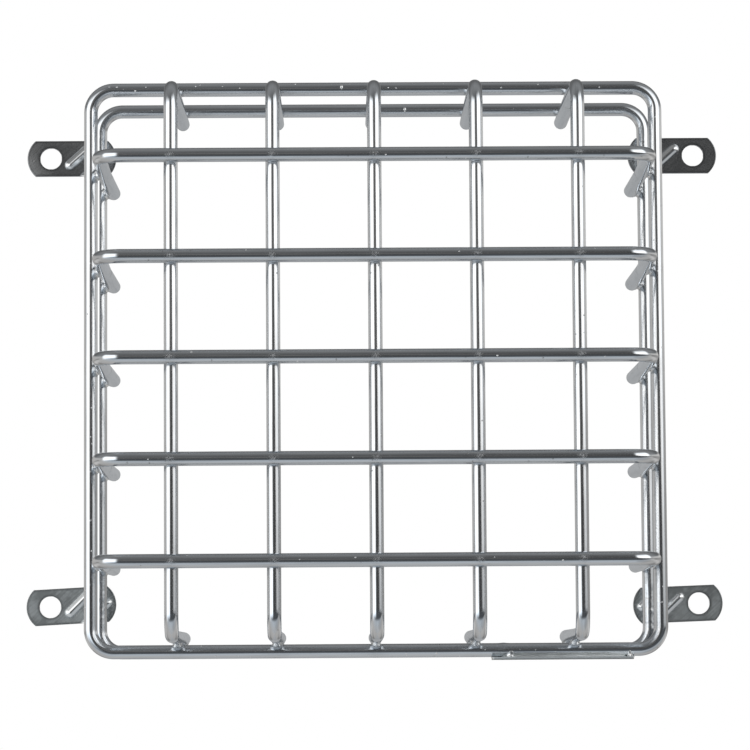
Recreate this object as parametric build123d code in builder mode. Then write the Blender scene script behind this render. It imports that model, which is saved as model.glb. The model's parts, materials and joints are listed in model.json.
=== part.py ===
from build123d import *
import os
from math import cos, radians, sin, sqrt

# Driving dimensions, in millimetres and degrees
WIRE = 4.8              # wire diameter of the bars and the rings
RING_WIDTH = 203.0      # outside of both rings, side to side
RING_HEIGHT = 201.8     # outside of both rings, top to bottom
RING_BEND = 8.0         # corner radius of the rings, on the wire's centreline
RING_SPACING = 47.2     # back ring to front ring, centre to centre
CAGE_DEPTH = 94.4       # back ring to cross bars, centre to centre
BAR_COUNT = 5           # bars each way
BAR_EDGE = 30.1         # outermost bars to the ring beside them, centre to centre
BAR_BEND = 7.6          # bend radius of the bars, on the wire's centreline
CROSS_LEAN = 1.1        # legs of the cross bars lean in this far between front ring and front
UPRIGHT_LEAN = 0.5      # the same for the legs of the upright bars
LEAN_BEND = 150.0       # radius of the slight bend where the lean starts
LEG_SHORT = 2.2         # the legs end this far short of the back ring's rear side
WELD_ROOM = 0.04        # room between two pieces where they are welded
HOLE = 7.9              # fixing hole diameter
HOLE_OUTSET = 16.0      # fixing holes, out from the sides of the rings
HOLE_DROP = 19.0        # fixing holes, in from the top and bottom of the rings
TAB_LENGTH = 32.4
TAB_WIDTH = 13.0
TAB_THICK = 1.6
TAB_END = 8.6           # hole centre to the tab's outer end
TAB_CROWN = 0.66        # radius of the tab's ends, as a share of its width
TILT_LEFT = 3.0         # the lower tabs are welded on slightly askew
TILT_RIGHT = 2.0
RIB_HEIGHT = 0.8        # ribs on the tab's front that the back ring is welded to
RIB_WIDTH = 2.6
RIB_ANGLE = 42.0        # slant of the ribs across the tab
RIB_FLANK = 35.0        # draft of the ribs' sides
OUTER_RIB = (-12.0, -2.9)  # where each rib ends, from the ring's wire and the tab's middle
INNER_RIB = (2.6, 0.6)
PLATE_LENGTH = 49.5     # flat plate welded under the front ring
PLATE_DEPTH = 8.0
PLATE_THICK = 1.0
PLATE_INSET = 12.1      # plate to the right side of the rings

# Places that follow from them: the wall is at y = 0 and the front faces -Y
RING_X = (RING_WIDTH - WIRE) / 2
RING_Z = (RING_HEIGHT - WIRE) / 2
LEG_X = RING_X - WIRE - WELD_ROOM
LEG_Z = RING_Z - WIRE - WELD_ROOM
BACK_RING_Y = -(TAB_THICK + RIB_HEIGHT + WELD_ROOM + WIRE / 2)
FRONT_RING_Y = BACK_RING_Y - RING_SPACING
CROSS_Y = BACK_RING_Y - CAGE_DEPTH
UPRIGHT_Y = CROSS_Y + WIRE + WELD_ROOM
LEG_END_Y = BACK_RING_Y + WIRE / 2 - LEG_SHORT

os.makedirs("parts", exist_ok=True)


def bar_places(ring_half):
    """Places of the bars between two sides of a ring, from low to high."""
    first = BAR_EDGE - ring_half
    pitch = -2 * first / (BAR_COUNT - 1)
    return [first + i * pitch for i in range(BAR_COUNT)]


def bar_bends(leg, lean, front):
    """Corners of a bar: up one leg, across the front and down the other leg."""
    rising = [(-leg, LEG_END_Y), (-leg, FRONT_RING_Y), (lean - leg, front)]
    return rising + [(-across, y) for across, y in reversed(rising)]


bend_radii = (LEAN_BEND, BAR_BEND, BAR_BEND, LEAN_BEND)

# Cross bars, from the top down: each runs across the front and bends back at both sides
for number, z in enumerate(reversed(bar_places(RING_Z)), start=1):
    with BuildPart() as cross_bar:
        with BuildLine() as path:
            corners = [(x, y, z) for x, y in bar_bends(LEG_X, CROSS_LEAN, CROSS_Y)]
            FilletPolyline(*corners, radius=bend_radii)
        with BuildSketch(Plane(origin=path.line @ 0, z_dir=path.line % 0)):
            Circle(WIRE / 2)
        sweep()
    cross_bar.part.label = f"cross_bar_{number}"
    export_step(cross_bar.part, f"parts/cross_bar_{number}.step")

# Upright bars, from left to right: each lies just behind the cross bars
for number, x in enumerate(bar_places(RING_X), start=1):
    with BuildPart() as upright_bar:
        with BuildLine() as path:
            corners = [(x, y, z) for z, y in bar_bends(LEG_Z, UPRIGHT_LEAN, UPRIGHT_Y)]
            FilletPolyline(*corners, radius=bend_radii)
        with BuildSketch(Plane(origin=path.line @ 0, z_dir=path.line % 0)):
            Circle(WIRE / 2)
        sweep()
    upright_bar.part.label = f"upright_bar_{number}"
    export_step(upright_bar.part, f"parts/upright_bar_{number}.step")

# Rings: closed and round-cornered, outside the legs of all the bars
for name, y in (("front_ring", FRONT_RING_Y), ("back_ring", BACK_RING_Y)):
    with BuildPart() as ring:
        with BuildLine() as path:
            corners = [(-RING_X, y, -RING_Z), (RING_X, y, -RING_Z), (RING_X, y, RING_Z), (-RING_X, y, RING_Z)]
            FilletPolyline(*corners, radius=RING_BEND, close=True)
        with BuildSketch(Plane(origin=path.line @ 0, z_dir=path.line % 0)):
            Circle(WIRE / 2)
        sweep()
    ring.part.label = name
    export_step(ring.part, f"parts/{name}.step")

# Mounting tabs: one shape, turned half round for the right-hand side
half_width = TAB_WIDTH / 2
crown = TAB_CROWN * TAB_WIDTH
bulge = crown - sqrt(crown**2 - half_width**2)
outer = -TAB_END
inner = TAB_LENGTH - TAB_END
hole_to_ring = HOLE_OUTSET + WIRE / 2
for name, side, level, tilt in (
    ("tab_upper_left", -1, 1, 0.0),
    ("tab_upper_right", 1, 1, 0.0),
    ("tab_lower_left", -1, -1, TILT_LEFT),
    ("tab_lower_right", 1, -1, TILT_RIGHT),
):
    hole_centre = (side * (RING_WIDTH / 2 + HOLE_OUTSET), 0, level * (RING_HEIGHT / 2 - HOLE_DROP))
    inward = (-side * cos(radians(tilt)), 0, -side * sin(radians(tilt)))
    rear = Plane(origin=hole_centre, x_dir=inward, z_dir=(0, -1, 0))
    with BuildSketch(rear) as blank:
        with BuildLine():
            Line((outer + bulge, -half_width), (inner - bulge, -half_width))
            ThreePointArc((inner - bulge, -half_width), (inner, 0), (inner - bulge, half_width))
            Line((inner - bulge, half_width), (outer + bulge, half_width))
            ThreePointArc((outer + bulge, half_width), (outer, 0), (outer + bulge, -half_width))
        make_face()
    with BuildPart() as tab:
        add(blank.sketch)
        extrude(amount=TAB_THICK, dir=(0, -1, 0))
        with Locations(rear.offset(TAB_THICK)):
            Hole(HOLE / 2)
        for (along, across), heading in ((OUTER_RIB, RIB_ANGLE), (INNER_RIB, RIB_ANGLE + 180)):
            with BuildSketch(rear.offset(TAB_THICK)):
                with Locations(Location((hole_to_ring + along, across, 0), (0, 0, heading))):
                    Circle(RIB_WIDTH / 2)
                    Rectangle(2 * TAB_WIDTH, RIB_WIDTH, align=(Align.MIN, Align.CENTER))
                add(blank.sketch_local, mode=Mode.INTERSECT)
            extrude(amount=RIB_HEIGHT, taper=RIB_FLANK)
    tab.part.label = name
    export_step(tab.part, f"parts/{name}.step")

# Bottom plate: flat under the front ring at the right
plate_right = RING_WIDTH / 2 - PLATE_INSET
with BuildPart() as bottom_plate:
    with Locations((plate_right, FRONT_RING_Y, -RING_HEIGHT / 2 - WELD_ROOM)):
        Box(PLATE_LENGTH, PLATE_DEPTH, PLATE_THICK, align=(Align.MAX, Align.CENTER, Align.MAX))
bottom_plate.part.label = "bottom_plate"
export_step(bottom_plate.part, "parts/bottom_plate.step")
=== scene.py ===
import json
import math

import bpy
import numpy as np
from mathutils import Matrix, Vector, geometry, noise


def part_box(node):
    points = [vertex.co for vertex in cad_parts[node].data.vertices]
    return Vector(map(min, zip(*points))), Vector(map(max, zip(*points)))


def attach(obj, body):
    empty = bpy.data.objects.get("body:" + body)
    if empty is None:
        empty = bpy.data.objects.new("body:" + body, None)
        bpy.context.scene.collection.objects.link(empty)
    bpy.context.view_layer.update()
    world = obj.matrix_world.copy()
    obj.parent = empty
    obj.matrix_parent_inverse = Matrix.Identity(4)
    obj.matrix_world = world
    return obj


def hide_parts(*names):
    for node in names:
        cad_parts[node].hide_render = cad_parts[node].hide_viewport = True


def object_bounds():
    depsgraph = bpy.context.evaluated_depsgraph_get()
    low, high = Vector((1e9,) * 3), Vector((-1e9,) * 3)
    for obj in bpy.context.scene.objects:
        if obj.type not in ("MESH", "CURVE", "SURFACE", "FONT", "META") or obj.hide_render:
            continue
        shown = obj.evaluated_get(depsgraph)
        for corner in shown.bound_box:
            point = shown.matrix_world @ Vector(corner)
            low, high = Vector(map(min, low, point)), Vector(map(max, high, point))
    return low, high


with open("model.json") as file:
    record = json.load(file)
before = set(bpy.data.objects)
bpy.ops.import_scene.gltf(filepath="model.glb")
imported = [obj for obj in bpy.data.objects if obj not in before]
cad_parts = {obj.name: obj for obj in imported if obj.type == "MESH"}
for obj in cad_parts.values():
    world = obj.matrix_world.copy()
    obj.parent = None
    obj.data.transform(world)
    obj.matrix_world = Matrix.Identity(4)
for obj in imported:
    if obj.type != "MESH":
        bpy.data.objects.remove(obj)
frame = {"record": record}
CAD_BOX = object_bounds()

bl_info = {
    "name": "Wire guard",
    "version": (1, 0, 0),
    "blender": (4, 5, 0),
    "location": "View3D > Sidebar > Guard",
    "description": "Dresses a welded wire guard: plated wires, welds, tabs and its studio",
    "category": "Object",
}

MM = 0.001
RIGHT = Vector((1, 0, 0))
UP = Vector((0, 0, 1))
FRONT = Vector((0, -1, 0))
BACK = Vector((0, 1, 0))
WHITE = (1, 1, 1, 1)

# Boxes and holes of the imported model
FRONT_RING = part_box("front_ring")
BACK_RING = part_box("back_ring")
CROSS_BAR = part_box("cross_bar_1")
UPRIGHT_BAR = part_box("upright_bar_1")
BOTTOM_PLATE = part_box("bottom_plate")
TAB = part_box("tab_upper_left")
HOLES = next(m for m in frame["record"]["mounts"] if m["name"] == "wall_holes")

# Wires
BAR_COUNT = 5
WIRE_ROUND = 40  # points round a wire
WIRE_SHIFT = 0.731  # from wire to wire in the pattern of the plating, so that no two are alike
END_ROUNDING = ((0.0, 1.0), (0.22, 0.42), (0.55, 0.12), (1.0, 0.0))  # depth and inset, in cut edges
SEAM_INSET = 4.2 * MM  # seams of the rings, in from the plate's left end
SEAM_WIDTH = 1.1 * MM  # how far the upset of a seam reaches along the wire
HEAT_FULL, HEAT_NONE = 1.2 * MM, 6.2 * MM  # how far the heat of a weld marks the plating
LUMPS_FULL, LUMPS_NONE = 2.7 * MM, 7.2 * MM  # how far the wire is lumpy round a tab's weld

# Tabs: side, level, tilt in degrees and how much is rubbed off the low corner of the outer end
TABS = {
    "upper_left": (-1, 1, 0.0, 0.36 * MM),
    "upper_right": (1, 1, 0.0, 0.0),
    "lower_left": (-1, -1, 3.0, 0.0),
    "lower_right": (1, -1, 2.0, 0.27 * MM),
}
STRIP = 1.6 * MM  # thickness of the strip
RIB_HEIGHT = TAB[1].y - TAB[0].y - STRIP
TAB_CROWN = 0.66  # radius of the ends, as a share of the width
RIB_SLANT = 42.0  # degrees, across the tab
RIB_SPREAD = 0.71  # half the width of a rib with its soft feet, in rib widths
RIB_FULLNESS = 0.75  # under 1, a rib is fuller than a plain wave
RIB_HOLLOW = 0.8  # depth of the hollow behind a rib, as a share of its height
# Where a rib starts and where the ring is welded to it, from the ring's wire and the tab's middle
OUTER_RIB, OUTER_RIB_WELD = (-11.4 * MM, -2.4 * MM), (-0.9 * MM, 5.9 * MM)
INNER_RIB, INNER_RIB_WELD = (2.4 * MM, 0.4 * MM), (0.0, -1.7 * MM)
EDGE_STEPS = (0.0, 0.07, 0.2, 0.42, 0.7, 1.0)  # rows of points over a punched edge
DIE_EDGE, DIE_DROP = 0.4, 0.9  # rounding on the die's side, as a share of the punch's, and its depth
RIM_SHADE_FULL, RIM_SHADE_NONE = 0.2 * MM, 1.0 * MM  # how far in from a cut edge the colour is darker, as painted shade along the rims
TAB_PITCH = 0.26 * MM  # points on a tab's face
ROW_PITCH = 0.866  # rows of these points, in pitches
ARC_STEPS, SIDE_STEPS, HOLE_STEPS = 32, 60, 72  # points along the ends, the sides and the hole
RUB_START, RUB_RUN, RUB_SLANT = 1.0 * MM, 10 * MM, 0.6  # from the hole, how the rubbing grows
GRAIN_SLANT = 0.75  # radians, rolling lines of the strip

# Welds
SUNK = 0.08 * MM  # how deep a bead or a drop sits in the metal under it
WELD_ROOM = 0.02 * MM  # half the room that the solids leave for a weld
UPRIGHT_LEG_WELD = 0.84  # welds on the legs of the upright bars, as a share of the others
TAB_WELD_DEPTH, RIB_ROUND = 0.9, 0.4  # reach along a rib in tab welds, and the rib's top in rib widths
LEG_SEED, PLATE_SEED, TAB_SEED = 40, 90, 120  # numbers that tell the beads apart
PLATE_WAIST = 0.07  # waist of the beads on the plate
# The fillet along the plate and the welds at its ends: inset from the plate's ends, and reach each way
FILLET_INSET, FILLET_DEPTH, FILLET_ROUND_OFF = 1.7 * MM, 2.1 * MM, 0.3
LEFT_END_INSET, LEFT_END_REACH = 6.6 * MM, (2.1 * MM, 2.45 * MM)
RIGHT_END_INSET, RIGHT_END_REACH = 1.6 * MM, (1.3 * MM, 2.45 * MM)

# Spatter: sizes in millimetres, and drops at chosen places on the tops of the rings, x and turn
SPATTER_SEED = 5
DROP_HEIGHT = 0.75  # height of a drop, as a share of its size
DROP_SIZES = (0.20, 0.36)
BIG_DROP, BIG_STRETCH = 0.52, 1.9
RING_DROPS = ((-92.5, 22), (-89.9, 20), (-79.7, 18), (-62.2, 24), (-52.8, 22))
BIG_FRONT_DROP, BIG_BACK_DROP = (-11.0, 14), (12.0, 2)

# Studio, in metres
STUDIO_MIDDLE = Vector((0, -0.05, 0))
SURROUND_RADIUS, SURROUND_WIDE, SURROUND_TALL = 2.7, 240, 120
SURROUND_TOP = 89.5  # degrees up and down that the surround reaches
FLOOR_RADIUS, FLOOR_STEPS = 2.2, 96
FLOOR_FADE = (0.7, 1.9)  # distances between which the floor runs out into the white
COOL_TINT = 0.06  # how blue the surround is where it is coolest
LAMP_AIM = Vector((0, -0.05, -0.1))
# Place, size and power of the lamps
LAMPS = {
    "lamp_above": ((-0.3, -0.5, 1.9), 0.25, 26.0),
    "lamp_left": ((-1.6, -1.1, 1.0), 1.4, 3.0),
    "lamp_right": ((1.6, -1.1, 1.0), 1.4, 3.0),
}
SENSOR = 36.0  # millimetres


def length(name, description, default):
    """A size that a user may change, in metres."""
    return bpy.props.FloatProperty(
        name=name, description=description, default=default, precision=5, unit="LENGTH", subtype="DISTANCE"
    )


def colour(name, description, default):
    """A colour that a user may change."""
    return bpy.props.FloatVectorProperty(
        name=name, description=description, default=default, size=3, min=0.0, max=1.0, subtype="COLOR"
    )


def share(name, description, default, high=1.0):
    """A plain number from nothing to high."""
    return bpy.props.FloatProperty(
        name=name, description=description, default=default, min=0.0, max=high, subtype="FACTOR"
    )


class GuardSizes(bpy.types.PropertyGroup):
    """Sizes of the guard's pieces."""

    wire: length("Wire", "Diameter of the round wire", FRONT_RING[1].y - FRONT_RING[0].y)
    ring_bend: length("Ring corner", "Corner radius of the rings on the wire's centreline", 8.0 * MM)
    bar_bend: length("Bar bend", "Bend radius of the bars on the wire's centreline", 7.6 * MM)
    cross_lean: length("Cross bar lean", "How far the cross bars' legs lean in at the front", 1.1 * MM)
    upright_lean: length("Upright bar lean", "How far the upright bars' legs lean in at the front", 0.5 * MM)
    lean_bend: length("Lean bend", "Radius of the slight bend where the lean starts", 150.0 * MM)
    cut_edge: length("Cut edge", "Rounding at the cut ends of the legs", 0.45 * MM)
    crossing_weld: length("Crossing weld", "Reach of the weld where two bars cross", 1.75 * MM)
    leg_weld: length("Leg weld", "Reach of the weld where a leg passes a ring", 2.2 * MM)
    tab_weld: length("Tab weld", "Reach of the welds between a tab's ribs and the back ring", 1.8 * MM)
    ring_seam: length("Ring seam", "Height of the upset where a ring's ends are welded", 0.16 * MM)
    hole: length("Hole", "Diameter of the fixing holes", 7.9 * MM)
    tab_length: length("Tab length", "Length of a mounting tab", 32.4 * MM)
    tab_width: length("Tab width", "Width of a mounting tab", 13.0 * MM)
    tab_thick: length("Tab thickness", "Thickness of the tab's strip", STRIP)
    tab_end: length("Tab end", "Hole centre to the tab's outer end", 8.6 * MM)
    rib_height: length("Rib height", "How far the pressed ribs stand off the tab", RIB_HEIGHT)
    rib_width: length("Rib width", "Width of a pressed rib at its foot", 2.6 * MM)
    punch_edge: length("Punched edge", "Rounding of the tab's edges on the punch side", 0.22 * MM)
    electrode: length("Electrode mark", "Width of the mark that a welding electrode leaves", 4.4 * MM)


class GuardFinish(bpy.types.PropertyGroup):
    """Colours and gloss of the plating."""

    plating: colour("Plating", "Bright plating on the wire", (0.70, 0.735, 0.77))
    dull_plating: colour("Dull plating", "Plating where it is thinner or rubbed", (0.56, 0.585, 0.61))
    tab_plating: colour("Tab plating", "Plating on the upper tabs", (0.66, 0.695, 0.725))
    dull_tab_plating: colour("Dull tab plating", "Plating on the lower tabs", (0.70, 0.75, 0.765))
    plate_plating: colour("Plate plating", "Plating on the bottom plate", (0.86, 0.90, 0.91))
    weld_plating: colour("Weld plating", "Plating over the weld beads", (0.92, 0.935, 0.94))
    burnt: colour("Burnt", "Heat mark in the plating beside a weld", (0.36, 0.35, 0.33))
    wire_gloss: share("Wire roughness", "Roughness of the plated wire", 0.11)
    tab_gloss: share("Tab roughness", "Roughness of the upper tabs", 0.13)
    dull_tab_gloss: share("Dull tab roughness", "Roughness of the lower tabs, plated duller", 0.34)
    plate_gloss: share("Plate roughness", "Roughness of the bottom plate", 0.42)


class GuardStage(bpy.types.PropertyGroup):
    """Floor, surround, lamps and camera."""

    floor_drop: length("Floor drop", "Floor below the guard's lowest point", 100.0 * MM)
    floor_colour: colour("Floor", "Pale floor", (0.9, 0.9, 0.9))
    lens: bpy.props.FloatProperty(
        name="Lens", description="Focal length on a 36 mm sensor", default=164.003, unit="CAMERA"
    )
    camera_place: bpy.props.FloatVectorProperty(
        name="Camera", description="Where the camera stands", default=(-0.010138, -1.241837, -0.102621),
        size=3, precision=5, subtype="TRANSLATION", unit="LENGTH",
    )
    camera_turn: bpy.props.FloatVectorProperty(
        name="Camera turn", description="Pitch up, turn to the right and roll",
        default=(0.0839875, 0.0086269, -0.0064450), size=3, precision=5, subtype="EULER",
    )
    soft_light: share("Soft light", "Light of the world on matt surfaces", 0.30, 4.0)
    floor_fill: share("Floor fill", "Light added to the floor as the camera sees it", 0.12)
    white_sides: share("White sides", "Brightness of the surround at both sides", 1.7, 8.0)
    dark_front: share("Dark front", "Brightness of the surround behind the camera", 0.096, 2.0)
    grey_rear: share("Grey rear", "Brightness of the surround behind the guard", 0.43, 2.0)
    rear_panels: share("Rear panels", "Brightness of the low panels behind, at both sides", 0.66, 2.0)
    grey_table: share("Grey table", "Brightness of the table in front of the guard", 0.58, 2.0)


# Shapes


def link(name, verts, faces, material, smooth=True):
    """A new mesh object in the scene, shaded smooth unless it is flat."""
    mesh = bpy.data.meshes.new(name)
    mesh.from_pydata([tuple(v) for v in verts], [], faces)
    mesh.validate()
    if smooth:
        mesh.shade_smooth()
    mesh.materials.append(material)
    made = bpy.data.objects.new(name, mesh)
    bpy.context.scene.collection.objects.link(made)
    return made


def mark_points(piece, name, values, kind="FLOAT", field="value"):
    """A value at each point of a piece, for its finish to read."""
    mark = piece.data.attributes.new(name, kind, "POINT")
    mark.data.foreach_set(field, np.array(values, np.float32).ravel())


def fit_piece(piece, slot, *nodes):
    """The piece belongs to the guard and stands for these nodes, which are hidden. Its slot is not used."""
    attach(piece, "root")
    if nodes:
        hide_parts(*nodes)


def closed(points):
    """Each point with the next one, round to the first again."""
    points = list(points)
    return list(zip(points, points[1:] + points[:1]))


def band_faces(rows, around, flip=False):
    """Faces between rows of points that run round a piece."""
    faces = []
    for row in range(rows - 1):
        for a, b in closed(range(row * around, (row + 1) * around)):
            faces.append((a, a + around, b + around, b) if flip else (a, b, b + around, a + around))
    return faces


def bent_wire(corners, radii, step=1.2 * MM, turn=math.radians(4.5)):
    """Stations along a wire with round bends: points, directions and the distance run."""
    corners = [Vector(c) for c in corners]
    points, directions = [corners[0]], [(corners[1] - corners[0]).normalized()]

    def run_to(end):
        """Straight on to the end of a stretch."""
        start = points[-1]
        count = max(1, math.ceil((end - start).length / step))
        heading = (end - start).normalized()
        for i in range(1, count + 1):
            points.append(start.lerp(end, i / count))
            directions.append(heading)

    for before, corner, after, radius in zip(corners, corners[1:], corners[2:], radii):
        into, out = (corner - before).normalized(), (after - corner).normalized()
        angle = into.angle(out)
        reach = radius * math.tan(angle / 2)
        side = (out - into * into.dot(out)).normalized()
        run_to(corner - into * reach)
        centre = corner - into * reach + side * radius
        count = max(3, math.ceil(angle / turn))
        for i in range(1, count + 1):
            a = angle * i / count
            points.append(centre + (into * math.sin(a) - side * math.cos(a)) * radius)
            directions.append(into * math.cos(a) + side * math.sin(a))
    run_to(corners[-1])
    points, directions = np.array(points), np.array(directions)
    runs = np.linalg.norm(np.diff(points, axis=0), axis=1)
    return points, directions, np.concatenate([[0.0], np.cumsum(runs)])


def rounded_ends(stations, radius, cut):
    """Points, directions, distances and radii along a wire whose cut ends are rounded off."""
    points, directions, run = stations
    ends = [(depth * cut, radius - inset * cut) for depth, inset in END_ROUNDING]
    first = [(points[0] + directions[0] * d, directions[0], d, r) for d, r in ends]
    last = [(points[-1] - directions[-1] * d, directions[-1], run[-1] - d, r) for d, r in reversed(ends)]
    inner = [(*station, radius) for station in zip(points[1:-1], directions[1:-1], run[1:-1])]
    return [np.array(column) for column in zip(*first, *inner, *last)]


def nearness(verts, centres, full, none):
    """At each point, 1 within full of a centre, falling to 0 at none."""
    away = np.full(len(verts), none)
    for centre in centres:
        away = np.minimum(away, np.linalg.norm(verts - np.array(centre), axis=1))
    return np.clip((none - away) / (none - full), 0.0, 1.0)


def wire_piece(name, stations, across, lay, material, number, welds, cut=0.0, seam=0.0, lumpy=()):
    """A round wire along its stations, with cut ends or with its ends welded into a seam.
    It is heated at its welds and has a rough surface near the lumpy places."""
    if cut:
        points, directions, run, swell = rounded_ends(stations, lay.r, cut)
    else:
        points, directions, run = stations
        swell = np.full(len(points), lay.r)
    angles = np.arange(WIRE_ROUND) * (2 * math.pi / WIRE_ROUND)
    across = np.array(across, float)
    side = np.cross(across, directions)
    side /= np.linalg.norm(side, axis=1)[:, None]
    out = side[:, None, :] * np.cos(angles)[None, :, None] + across * np.sin(angles)[None, :, None]
    thick = np.repeat(swell[:, None], WIRE_ROUND, axis=1)
    if seam:
        from_seam = np.minimum(run, run[-1] - run)[:, None] / SEAM_WIDTH
        lumps = 0.75 + 0.25 * np.sin(3 * angles + number)[None, :]
        thick = thick + seam * np.exp(-from_seam**2) * lumps
    verts = (points[:, None, :] + out * thick[:, :, None]).reshape(-1, 3)
    rows = len(points)
    faces = band_faces(rows, WIRE_ROUND, flip=True)
    if cut:
        faces.append(tuple(range(WIRE_ROUND)))
        faces.append(tuple(reversed(range((rows - 1) * WIRE_ROUND, rows * WIRE_ROUND))))
    made = link(name, verts, faces, material)
    place = np.empty((rows, WIRE_ROUND, 3))
    place[:, :, 0] = lay.r * np.cos(angles)
    place[:, :, 1] = lay.r * np.sin(angles)
    place[:, :, 2] = run[:, None] + WIRE_SHIFT * number
    mark_points(made, "wire_lay", place, "FLOAT_VECTOR", "vector")
    mark_points(made, "weld_heat", nearness(verts, welds, HEAT_FULL, HEAT_NONE))
    electrodes = nearness(verts, lay.electrode_places(), 0.1 * lay.electrode, 0.5 * lay.electrode)
    mark_points(made, "electrode", electrodes)
    mark_points(made, "lumpy", nearness(verts, lumpy, LUMPS_FULL, LUMPS_NONE))
    return made


def bar_places(kind, axis):
    """Middles of the bars of a kind, along an axis."""
    boxes = [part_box(f"{kind}_bar_{i}") for i in range(1, BAR_COUNT + 1)]
    return [(low[axis] + high[axis]) / 2 for low, high in boxes]


class Layout:
    """Places of the wires, tabs and welds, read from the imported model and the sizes.
    A weld is its place, the directions of the two wires and the direction from the second to the first."""

    def __init__(self, sizes):
        r = sizes.wire / 2
        self.r = r
        self.electrode = sizes.electrode
        self.ring_x = (FRONT_RING[1].x - FRONT_RING[0].x) / 2 - r
        self.ring_z = (FRONT_RING[1].z - FRONT_RING[0].z) / 2 - r
        self.front_ring_y = (FRONT_RING[0].y + FRONT_RING[1].y) / 2
        self.back_ring_y = (BACK_RING[0].y + BACK_RING[1].y) / 2
        self.leg_x = (CROSS_BAR[1].x - CROSS_BAR[0].x) / 2 - r
        self.leg_z = (UPRIGHT_BAR[1].z - UPRIGHT_BAR[0].z) / 2 - r
        self.cross_y = CROSS_BAR[0].y + r
        self.upright_y = UPRIGHT_BAR[0].y + r
        self.leg_end_y = CROSS_BAR[1].y
        self.cross_z = bar_places("cross", 2)
        self.upright_x = bar_places("upright", 0)
        self.seam_x = BOTTOM_PLATE[0].x + SEAM_INSET
        self.hole_x = HOLES["dims"]["spacing_x_mm"] / 2 * MM
        self.hole_z = HOLES["dims"]["spacing_y_mm"] / 2 * MM

    def bar_outline(self, leg, lean, front_y):
        """Corners of a bar, up one leg, across the front and down the other: place along it and y."""
        climb = [(-leg, self.leg_end_y), (-leg, self.front_ring_y), (lean - leg, front_y)]
        return climb + [(-along, y) for along, y in reversed(climb)]

    def crossing_welds(self):
        """Where a cross bar lies on an upright bar."""
        y = (self.cross_y + self.upright_y) / 2
        return [(Vector((x, y, z)), RIGHT, UP, FRONT) for z in self.cross_z for x in self.upright_x]

    def leg_welds(self):
        """Where a leg passes inside a ring, the front ring's first."""
        found = []
        for y in (self.front_ring_y, self.back_ring_y):
            for side in (-1, 1):
                x = side * (self.leg_x + self.ring_x) / 2
                z = side * (self.leg_z + self.ring_z) / 2
                outward_x, outward_z = Vector((side, 0, 0)), Vector((0, 0, side))
                found += [(Vector((x, y, level)), UP, BACK, outward_x) for level in self.cross_z]
                found += [(Vector((place, y, z)), RIGHT, BACK, outward_z) for place in self.upright_x]
        return found

    def tab_frames(self):
        """Name, hole centre on the wall, direction towards the guard and direction across, for each tab."""
        found = []
        for name, (side, level, tilt, _) in TABS.items():
            a = math.radians(tilt)
            inward = Vector((-side * math.cos(a), 0, -side * math.sin(a)))
            hole = Vector((side * self.hole_x, 0, level * self.hole_z))
            found.append((name, hole, inward, FRONT.cross(inward)))
        return found

    def tab_welds(self):
        """Where the back ring lies on the ribs of the tabs."""
        found = []
        y = self.back_ring_y + self.r + WELD_ROOM
        slant = math.radians(RIB_SLANT)
        for _, hole, inward, across in self.tab_frames():
            rib = inward * math.cos(slant) + across * math.sin(slant)
            for along, over in (OUTER_RIB_WELD, INNER_RIB_WELD):
                place = hole + inward * (self.hole_x - self.ring_x + along) + across * over
                found.append((Vector((place.x, y, place.z)), UP, rib, FRONT))
        return found

    def spatter(self):
        """Drops of spatter on the wires: foot, directions out and along the wire, size and stretch."""
        found = []
        chance = np.random.default_rng(SPATTER_SEED)

        def drop_near(weld, nearest, furthest, turned):
            """A drop on the wire beside a weld, turned to some angle round the wire."""
            place, along, _, contact = weld
            off = chance.choice((-1, 1)) * chance.uniform(nearest, furthest) * MM
            found.append((place + contact * self.r + along * off, chance.uniform(-turned, turned), along))

        def drop_on_top(y, x, turn):
            """A drop at a chosen place on the top of a ring."""
            found.append((Vector((x * MM, y, self.ring_z)), turn, RIGHT))

        for weld in self.crossing_welds():
            if chance.random() < 0.6:
                drop_near(weld, 3.5, 9.0, 55)
        for weld in self.leg_welds()[:4 * BAR_COUNT]:
            drop_near(weld, 5.0, 15.0, 60)
            drop_near(weld, 5.0, 15.0, 60)
        for drop in RING_DROPS:
            drop_on_top(self.front_ring_y, *drop)
        sizes = [(chance.uniform(*DROP_SIZES) * MM, 1.0) for _ in found]
        drop_on_top(self.front_ring_y, *BIG_FRONT_DROP)
        drop_on_top(self.back_ring_y, *BIG_BACK_DROP)
        sizes += [(BIG_DROP * MM, BIG_STRETCH)] * 2
        spots = []
        for (axis, turn, along), (size, stretch) in zip(found, sizes):
            a = math.radians(turn)
            out = FRONT * math.cos(a) + FRONT.cross(along) * math.sin(a)
            spots.append((axis + out * self.r, out, along, size, stretch))
        return spots

    def welds_near(self, wire_node, reach=8.0 * MM):
        """Places of the welds inside a box that is a little larger than a wire's own."""
        low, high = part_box(wire_node)
        welds = self.crossing_welds() + self.leg_welds() + self.tab_welds()
        return [place for place, *_ in welds
                if all(low[k] - reach <= place[k] <= high[k] + reach for k in range(3))]

    def electrode_places(self):
        """The outer faces of both wires at each crossing and leg, where the electrodes pressed."""
        welds = self.crossing_welds() + self.leg_welds()
        return [place + side * 2 * self.r * contact for place, _, _, contact in welds for side in (-1, 1)]


# Finishes


def finish_tree(name):
    """A new material with an empty node tree."""
    material = bpy.data.materials.new(name)
    material.use_nodes = True
    material.node_tree.nodes.clear()
    return material, material.node_tree


def node(tree, kind, sockets=None, **settings):
    """A node with its settings, and its sockets set or linked."""
    made = tree.nodes.new(kind)
    for key, value in settings.items():
        setattr(made, key, value)
    for key, value in (sockets or {}).items():
        if isinstance(value, bpy.types.NodeSocket):
            tree.links.new(value, made.inputs[key])
        else:
            made.inputs[key].default_value = value
    return made


def marked(tree, name, output="Fac"):
    """What is marked at the points of the piece under this name."""
    return node(tree, "ShaderNodeAttribute", attribute_name=name).outputs[output]


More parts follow.
